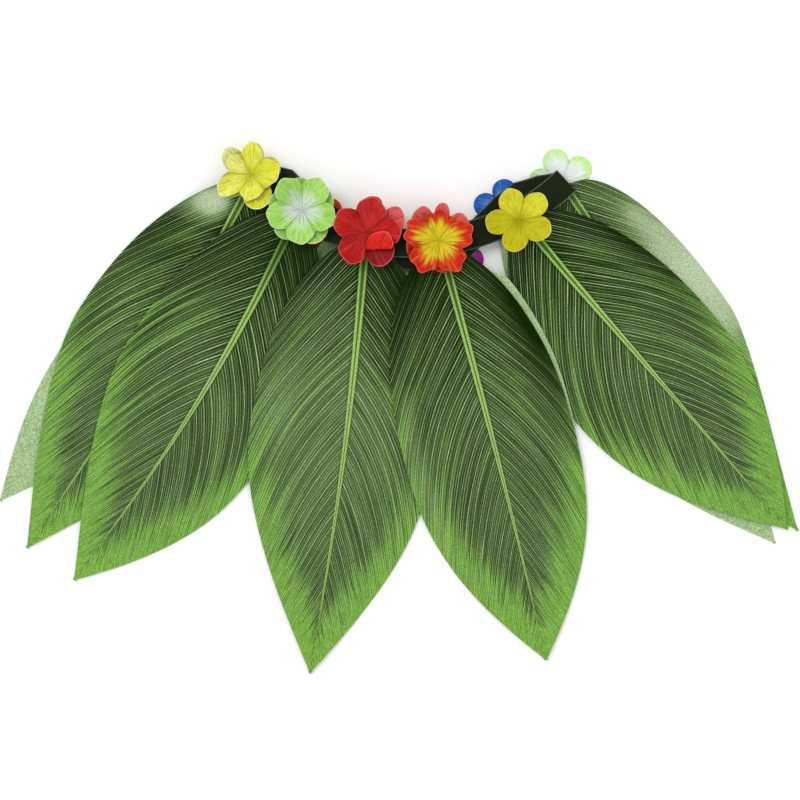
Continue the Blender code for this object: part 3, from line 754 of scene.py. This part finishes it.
petalLooks = dict(
    yellow=dict(heart=(0.64, 0.66, 0.020), petal=(0.80, 0.80, 0.040), streakAndHighlight=(0.93, 0.94, 0.34),
                back=(0.93, 0.90, 0.20), rim=(0.95, 0.95, 0.60), pale=(0.88, 0.89, 0.42),
                shade=(0.46, 0.46, 0.010), inner=0.05, outer=0.50, feather=0.3, streaks=0.50,
                rimShare=0.7, creases=0.60),
    # darker yellow: its olive heart and lower petals are painted shade
    yellowWithShade=dict(heart=(0.52, 0.48, 0.004), petal=(0.64, 0.60, 0.005), streakAndHighlight=(0.76, 0.74, 0.015),
                 back=(0.80, 0.77, 0.02), rim=(0.82, 0.80, 0.20), pale=(0.80, 0.79, 0.06),
                 shade=(0.34, 0.31, 0.002), inner=0.05, outer=0.50, feather=0.2, streaks=0.25,
                 rimShare=0.5, creases=0.40),
    green=dict(heart=(0.74, 0.77, 0.75), petal=(0.37, 0.68, 0.12), streakAndHighlight=(0.62, 0.84, 0.40),
               back=(0.60, 0.85, 0.40), rim=(0.66, 0.86, 0.44), pale=(0.56, 0.80, 0.28),
               shade=(0.20, 0.46, 0.06), inner=0.20, outer=0.74, feather=0.8, streaks=0.5,
               rimShare=0.6, creases=0.55),
    paleGreen=dict(heart=(0.90, 0.92, 0.90), petal=(0.52, 0.86, 0.22), streakAndHighlight=(0.85, 0.93, 0.72),
                   back=(0.80, 0.90, 0.70), rim=(0.76, 0.92, 0.55), pale=(0.85, 0.92, 0.75),
                   shade=(0.45, 0.70, 0.25), inner=0.55, outer=1.0, feather=0.5, streaks=0.5,
                   rimShare=0.4, creases=0.25),
    red=dict(heart=(0.60, 0.018, 0.014), petal=(0.52, 0.006, 0.005), streakAndHighlight=(0.76, 0.060, 0.050),
             back=(0.80, 0.010, 0.005), rim=(0.76, 0.16, 0.13), pale=(0.76, 0.13, 0.13),
             shade=(0.24, 0.003, 0.003), inner=0.15, outer=0.60, feather=0.4, streaks=0.55,
             rimShare=0.6, creases=0.60),
    redYellow=dict(heart=(0.74, 0.66, 0.015), petal=(0.62, 0.012, 0.004),
                   streakAndHighlight=(0.84, 0.24, 0.012), back=(0.85, 0.30, 0.02), rim=(0.84, 0.20, 0.10),
                   pale=(0.78, 0.16, 0.14), shade=(0.42, 0.035, 0.004), inner=0.42, outer=0.78,
                   feather=1.0, streaks=0.5, rimShare=0.5, creases=0.50),
    blue=dict(heart=(0.36, 0.58, 0.90), petal=(0.010, 0.12, 0.58), streakAndHighlight=(0.10, 0.38, 0.86),
              back=(0.2, 0.4, 0.85), rim=(0.004, 0.02, 0.25), pale=(0.2, 0.45, 0.85),
              shade=(0.004, 0.03, 0.25), inner=0.25, outer=0.85, feather=0.6, streaks=0.7,
              rimShare=0.5, creases=0.4),
    magenta=dict(heart=(0.75, 0.45, 0.75), petal=(0.42, 0.008, 0.40), streakAndHighlight=(0.62, 0.16, 0.60),
                 back=(0.6, 0.2, 0.6), rim=(0.25, 0.01, 0.24), pale=(0.7, 0.4, 0.7),
                 shade=(0.2, 0.005, 0.2), inner=0.45, outer=0.85, feather=0.5, streaks=0.4,
                 rimShare=0.5, creases=0.3),
    orange=dict(heart=(0.85, 0.55, 0.05), petal=(0.78, 0.05, 0.012), streakAndHighlight=(0.88, 0.22, 0.03),
                back=(0.9, 0.3, 0.1), rim=(0.88, 0.25, 0.08), pale=(0.85, 0.4, 0.1),
                shade=(0.5, 0.03, 0.01), inner=0.3, outer=0.8, feather=0.5, streaks=0.4,
                rimShare=0.4, creases=0.3),
)

print("materials")
printMaterial = leafPrintMaterial("leafPrint", leafPrint)
undersideMaterial = leafUndersideMaterial("leafUnderside", leafUnderside)
satinMaterial = ribbonMaterial("ribbonSatin", ribbonSatin)
petalMaterials = {key: petalMaterial("petal_" + key, look) for key, look in petalLooks.items()}

print("back flowers")
backFlowers = [
    dict(name="flower_blue_back", x=93.0, y=173.4, radius=28.0, turn=91.0, seed=11,
         slot="blue_petals", look="blue"),
    dict(name="flower_magenta_back", x=50.0, y=138.5, radius=26.5, turn=-28.0, seed=12,
         slot="magenta_petals", look="magenta"),
    dict(name="flower_orange_back", x=-74.0, y=164.6, radius=27.0, turn=36.0, seed=13,
         slot="orange_petals", look="orange"),
    dict(name="flower_green_back", x=143.5, y=199.5, radius=29.5, turn=36.0, seed=14,
         slot="green_petals", look="paleGreen"),
]
for flower in backFlowers:
    layer = dict(petals=[(flower["turn"] + 72 * petal, 1.0, 0.0) for petal in range(5)],
                 scale=1.0, seed=flower["seed"], ruffle=0.4, sides=0.5, tips=0.4, pleats=5.0,
                 groove=0.1, pinch=0.0, wide=0.38, frill=0.0, share=0.640)
    makePetals(flower, layer, flower["name"], 0.0, 0.0, [], petalMaterials[flower["look"]])

print("back leaves")
backLeaves = [
    dict(name="leaf_back_far_left", base=(-112.0, 203.0), tip=(-351.0, -81.8), bow=0,
         left=(48, 1.3, 0.70), right=(60, 1.0, 0.70), arch=0.0, seed=1.0, liesOn=[]),
    dict(name="leaf_back_middle", base=(-50.0, 160.0), tip=(-76.6, -218.0), bow=2,
         left=(60, 0.9, 0.70), right=(60, 0.9, 0.70), arch=0.0, seed=2.0,
         liesOn=["flower_orange_back"]),
    dict(name="leaf_back_right", base=(92.0, 176.0), tip=(331.0, -119.0), bow=0,
         left=(62, 1.1, 0.70), right=(60, 1.0, 0.70), arch=0.0, seed=3.0,
         liesOn=["flower_blue_back", "flower_magenta_back"]),
]
for leaf in backLeaves:
    leaf.update(slot="leaf_underside", wave=0.0, waves=3, creases=[], tones=[])
    makeLeaf(leaf, [undersideMaterial, printMaterial])
sideLeaf = dict(
    name="leaf_side_right", base=(145.0, 196.0), tip=(351.0, -108.2), bow=0,
    left=(64, 1.0, 0.60), right=(61.5, 0.68, 0.50), arch=1.5, seed=4.0, slot="leaf",
    wave=0.0, waves=3, creases=[(0.3, 0.10, 0.9, 0.30, 0.12, 0.6)],
    # painted glare down the leaf's outer side and painted light near its top
    tones=[(0.85, 0.36, 0.50, 0.18, 1.05), (0.75, 0.15, 0.30, 0.05, 0.25),
           (0.3, 0.05, 0.9, 0.07, 0.13)],
    liesOn=["flower_green_back", "flower_blue_back", "leaf_back_right"])
makeLeaf(sideLeaf, [printMaterial, undersideMaterial])

print("waistband")
frontRun = [(ribbonSize["left"], ribbonSize["radius"]), (ribbonSize["right"], ribbonSize["radius"])]
makeRibbonRun("ribbon_back", "waistband_back", backRun, ribbonSize["backLevel"], -1, satinMaterial)
makeRibbonRun("ribbon_front", "waistband_front", frontRun, ribbonSize["frontLevel"], 1,
              satinMaterial)

print("front leaves")
# each leaf's spots after its creases are painted light above 0 and painted shade below 0
frontLeaves = [
    dict(name="leaf_front_right", base=(105.0, 166.5), tip=(341.4, -106.5), bow=0,
         left=(79, 1.12, 0.64), right=(74, 1.1, 0.58), arch=3.0, seed=5.0,
         creases=[(0.1, 0.05, 0.5, 0.4, 0.12, 0.8), (-0.3, 0.5, -0.6, 0.9, 0.12, 0.7)],
         tones=[(1.05, 0.20, 0.20, 0.22, -1.0), (0.0, 0.0, 0.9, 0.06, -0.7)],
         liesOn=["leaf_side_right", "leaf_back_right", "waistband_front", "flower_magenta_back"]),
    dict(name="leaf_back_centre", base=(50.0, 146.0), tip=(126.7, -206.0), bow=4, stalk=0.11,
         left=(62, 1.3, 0.72), right=(63.5, 1.3, 0.68), arch=0.0, seed=6.0,
         creases=[], tones=[], liesOn=["waistband_back", "leaf_front_right", "leaf_back_right",
                                       "flower_magenta_back", "leaf_back_middle"]),
    dict(name="leaf_front_far_left", base=(-127.6, 198.9), tip=(-327.4, -123.2), bow=6,
         left=(77.5, 0.86, 0.68), right=(68, 1.05, 0.60), arch=3.0, seed=7.0,
         creases=[(-0.2, 0.1, -0.7, 0.45, 0.14, 0.9)],
         tones=[(-0.60, 0.085, 0.45, 0.05, 0.95), (0.6, 0.12, 0.6, 0.12, -0.8),
                (-0.5, 0.24, 0.6, 0.06, -0.35)],
         liesOn=["leaf_back_far_left", "waistband_front"]),
    dict(name="leaf_front_left", base=(-88.5, 169.0), tip=(-286.0, -151.4), bow=11,
         left=(80, 0.86, 0.60), right=(76, 1.40, 0.60), arch=3.0, seed=8.0,
         creases=[(0.2, 0.08, 0.6, 0.5, 0.12, 0.8), (-0.4, 0.4, -0.5, 0.85, 0.14, 0.8)],
         tones=[(0.5, 0.04, 0.8, 0.12, -0.9), (-0.6, 0.10, 0.5, 0.12, -0.35)],
         liesOn=["leaf_back_far_left", "leaf_front_far_left", "leaf_back_middle",
                 "waistband_front"]),
    dict(name="leaf_front_middle", base=(-29.0, 147.5), tip=(-78.3, -233.2), bow=5,
         left=(84.5, 0.94, 0.58), right=(78, 1.10, 0.58), arch=3.0, seed=9.0,
         creases=[(-0.2, 0.06, -0.5, 0.35, 0.12, 0.9), (0.3, 0.45, 0.4, 0.9, 0.14, 0.7)],
         tones=[(0.8, 0.12, 0.45, 0.18, -0.85), (-0.2, 0.0, 0.7, 0.07, -0.8),
               (0.0, 0.38, 1.3, 0.26, 0.14), (-0.75, 0.40, 0.20, 0.12, 0.14)],
         liesOn=["leaf_front_left", "leaf_back_middle", "leaf_back_centre", "waistband_front"]),
    dict(name="leaf_front_centre", base=(35.5, 145.0), tip=(129.4, -221.8), bow=2.5,
         left=(80, 1.25, 0.58), right=(71.5, 1.45, 0.68), arch=3.0, seed=10.0,
         creases=[(0.2, 0.06, 0.6, 0.4, 0.12, 0.9), (-0.4, 0.5, -0.3, 0.9, 0.14, 0.8)],
         tones=[(1.0, 0.22, 0.36, 0.22, -1.1), (0.0, 0.0, 0.9, 0.08, -0.8),
                (-0.9, 0.06, 0.5, 0.14, -0.8), (-0.88, 0.50, 0.12, 0.20, 0.26)],
         liesOn=["leaf_front_middle", "leaf_back_middle", "leaf_back_centre", "leaf_front_right",
                 "leaf_back_right", "waistband_front"]),
]
for leaf in frontLeaves:
    isBack = leaf["name"] == "leaf_back_centre"
    leaf.update(slot="leaf_underside" if isBack else "leaf", wave=0.0 if isBack else 0.7, waves=3)
    makeLeaf(leaf, [undersideMaterial, printMaterial] if isBack
             else [printMaterial, undersideMaterial])

print("front flowers")
# Petals are listed by the angle of their middle, their length and their painted light and shade
# (above 0 paler and lit, below 0 shaded)
frontFlowers = [
    dict(name="flower_yellow_left", x=-129.4, y=203.4, radius=30.0, cup=9.0, tilt=2.0,
         tiltAngle=90.0, slot="yellow_petals", look="yellow", beside=[],
         liesOn=["leaf_front_far_left", "leaf_front_left", "waistband_front"],
         lower=dict(scale=1.0, seed=21, ruffle=1.6, sides=2.4, tips=1.0, pleats=4.0, groove=0.6,
                    pinch=0.12, wide=0.38, frill=0.0, share=0.674,
                    petals=[(20, 0.92, -0.05), (80, 0.92, 0.1), (136, 1.0, 0.8), (208, 1.0, -0.2),
                            (286, 1.06, -0.12)]),
         upper=dict(scale=0.92, seed=31, ruffle=2.2, sides=4.6, tips=1.6, pleats=4.0, groove=1.4,
                    pinch=0.20, wide=0.39, frill=0.02, share=0.647,
                    petals=[(8, 0.95, -0.05), (88, 0.98, 0.10), (143, 0.84, 0.5), (213, 1.16, 0.2),
                            (264, 0.84, 0.1)])),
    dict(name="flower_green", x=-84.5, y=172.5, radius=31.0, cup=8.0, tilt=1.0, tiltAngle=60.0,
         slot="green_petals", look="green",
         liesOn=["leaf_front_left", "leaf_front_far_left", "waistband_front"],
         beside=["flower_yellow_left_lower", "flower_yellow_left_upper"],
         lower=dict(scale=0.98, seed=22, ruffle=0.8, sides=1.0, tips=0.5, pleats=5.0, groove=0.5,
                    pinch=0.0, wide=0.40, frill=0.0, share=0.700,
                    petals=[(25, 0.96, -0.15), (97, 0.92, -0.15), (165, 0.96, -0.15),
                            (228, 1.02, -0.12), (297, 1.06, -0.12)]),
         upper=dict(scale=1.0, seed=32, ruffle=2.0, sides=2.6, tips=0.8, pleats=5.0, groove=1.4,
                    pinch=0.02, wide=0.41, frill=0.02, share=0.722,
                    petals=[(53, 1.0, 0.20), (125, 0.98, -0.10), (197, 1.0, 0.05), (264, 0.98, 0.25),
                            (341, 1.0, 0.05)])),
    dict(name="flower_red", x=-28.2, y=153.0, radius=31.0, cup=9.0, tilt=2.0, tiltAngle=90.0,
         slot="red_petals", look="red",
         liesOn=["leaf_front_middle", "leaf_front_left", "leaf_front_centre", "waistband_front"],
         beside=["flower_green_lower", "flower_green_upper"],
         lower=dict(scale=1.0, seed=23, ruffle=0.6, sides=0.8, tips=0.5, pleats=5.0, groove=0.5,
                    pinch=0.0, wide=0.38, frill=0.0, share=0.730,
                    petals=[(32, 1.16, 0.9), (72, 1.02, 0.6), (152, 0.92, 0.0), (238, 0.92, 0.0),
                            (299, 1.07, -0.50)]),
         upper=dict(scale=0.98, seed=33, ruffle=2.2, sides=2.4, tips=1.2, pleats=6.0, groove=1.6,
                    pinch=0.0, wide=0.405, frill=0.02, share=0.777, foldPetal=4, foldTurn=270.0,
                    foldAt=15.5,
                    petals=[(-4, 1.0, 0.0), (78, 0.98, 0.08), (154, 0.98, -0.05), (236, 1.04, -0.12),
                            (302, 1.16, 0.0)])),
    dict(name="flower_red_yellow", x=34.0, y=146.0, radius=31.0, cup=8.0, tilt=1.0, tiltAngle=90.0,
         slot="red_yellow_petals", look="redYellow",
         liesOn=["leaf_front_centre", "leaf_front_middle", "waistband_front"],
         beside=["flower_red_lower", "flower_red_upper"],
         lower=dict(scale=1.0, seed=24, ruffle=0.8, sides=0.8, tips=0.5, pleats=6.0, groove=0.5,
                    pinch=0.0, wide=0.40, frill=0.0, share=0.712,
                    petals=[(44, 1.02, 0.9), (82, 1.05, 0.9), (118, 1.05, 0.9), (205, 0.94, 0.0),
                            (290, 0.94, 0.0)]),
         upper=dict(scale=0.98, seed=34, ruffle=2.6, sides=1.6, tips=1.4, pleats=11.0, groove=1.6,
                    pinch=0.0, wide=0.42, frill=0.05, share=0.772,
                    petals=[(14, 1.02, 0.0), (88, 0.84, 0.0), (160, 1.0, 0.0), (235, 1.04, 0.0),
                            (306, 1.04, 0.0)])),
    dict(name="flower_yellow_right", x=104.7, y=163.7, radius=27.5, cup=8.0, tilt=2.0,
         tiltAngle=60.0, slot="yellow_petals", look="yellowWithShade",
         liesOn=["leaf_front_right", "waistband_front", "leaf_front_centre"],
         beside=["flower_red_yellow_lower", "flower_red_yellow_upper"],
         lower=dict(scale=0.94, seed=25, ruffle=0.6, sides=0.8, tips=0.4, pleats=3.0, groove=0.4,
                    pinch=0.0, wide=0.38, frill=0.0, share=0.685,
                    petals=[(42, 1.0, -0.1), (114, 1.0, -0.1), (190, 1.0, -0.2), (252, 1.0, -0.2),
                            (336, 1.0, -0.2)]),
         upper=dict(scale=1.06, seed=35, ruffle=1.6, sides=2.2, tips=0.8, pleats=3.0, groove=1.6,
                    pinch=0.04, wide=0.385, frill=0.01, share=0.715,
                    petals=[(42, 1.0, 0.5), (114, 0.96, 0.45), (190, 1.04, -0.14),
                            (252, 1.0, -0.14), (337, 1.0, -0.12)])),
]
for flower in frontFlowers:
    makeCuppedFlower(flower, petalMaterials[flower["look"]])

# Floor, light and camera
print("stage")
stageLook = dict(
    floor=12.0, floorTone=0.97, floorLevel=-0.0002, worldLight=0.70,
    cameraHeight=1.75, viewWidth=0.704, centreX=0.0009, centreY=0.0070,
    lights=[("key", (-0.9, 0.9, 1.8), 1.0, 17.0), ("fill", (1.0, -0.8, 1.6), 2.0, 9.0)],
)  # a light has its name, place, size and power


def makeStage():
    material, tree, shader = newMaterial("paleFloor", 0.9)
    shader.inputs["Base Color"].default_value = (stageLook["floorTone"],) * 3 + (1.0,)
    bpy.ops.mesh.primitive_plane_add(size=stageLook["floor"],
                                     location=(0, 0, stageLook["floorLevel"]))
    floor = bpy.context.object
    floor.name = "floor"
    floor.data.materials.append(material)
    world = bpy.data.worlds.new("studio")
    world.use_nodes = True
    sky = world.node_tree.nodes["Background"]
    sky.inputs["Color"].default_value = (1.0, 1.0, 1.0, 1.0)
    sky.inputs["Strength"].default_value = stageLook["worldLight"]
    bpy.context.scene.world = world
    bpy.context.scene.view_settings.view_transform = "Standard"
    for name, spot, size, power in stageLook["lights"]:
        light = bpy.data.lights.new(name, "AREA")
        light.size = size
        light.energy = power
        lamp = bpy.data.objects.new(name, light)
        lamp.location = spot
        lamp.rotation_euler = (-lamp.location).to_track_quat("-Z", "Y").to_euler()
        bpy.context.scene.collection.objects.link(lamp)
    camera = bpy.data.cameras.new("camera")
    camera.sensor_width = 36.0
    camera.lens = camera.sensor_width * stageLook["cameraHeight"] / stageLook["viewWidth"]
    camera.clip_end = 50.0
    eye = bpy.data.objects.new("camera", camera)
    eye.location = (stageLook["centreX"], stageLook["centreY"], stageLook["cameraHeight"])
    bpy.context.scene.collection.objects.link(eye)
    bpy.context.scene.camera = eye


makeStage()
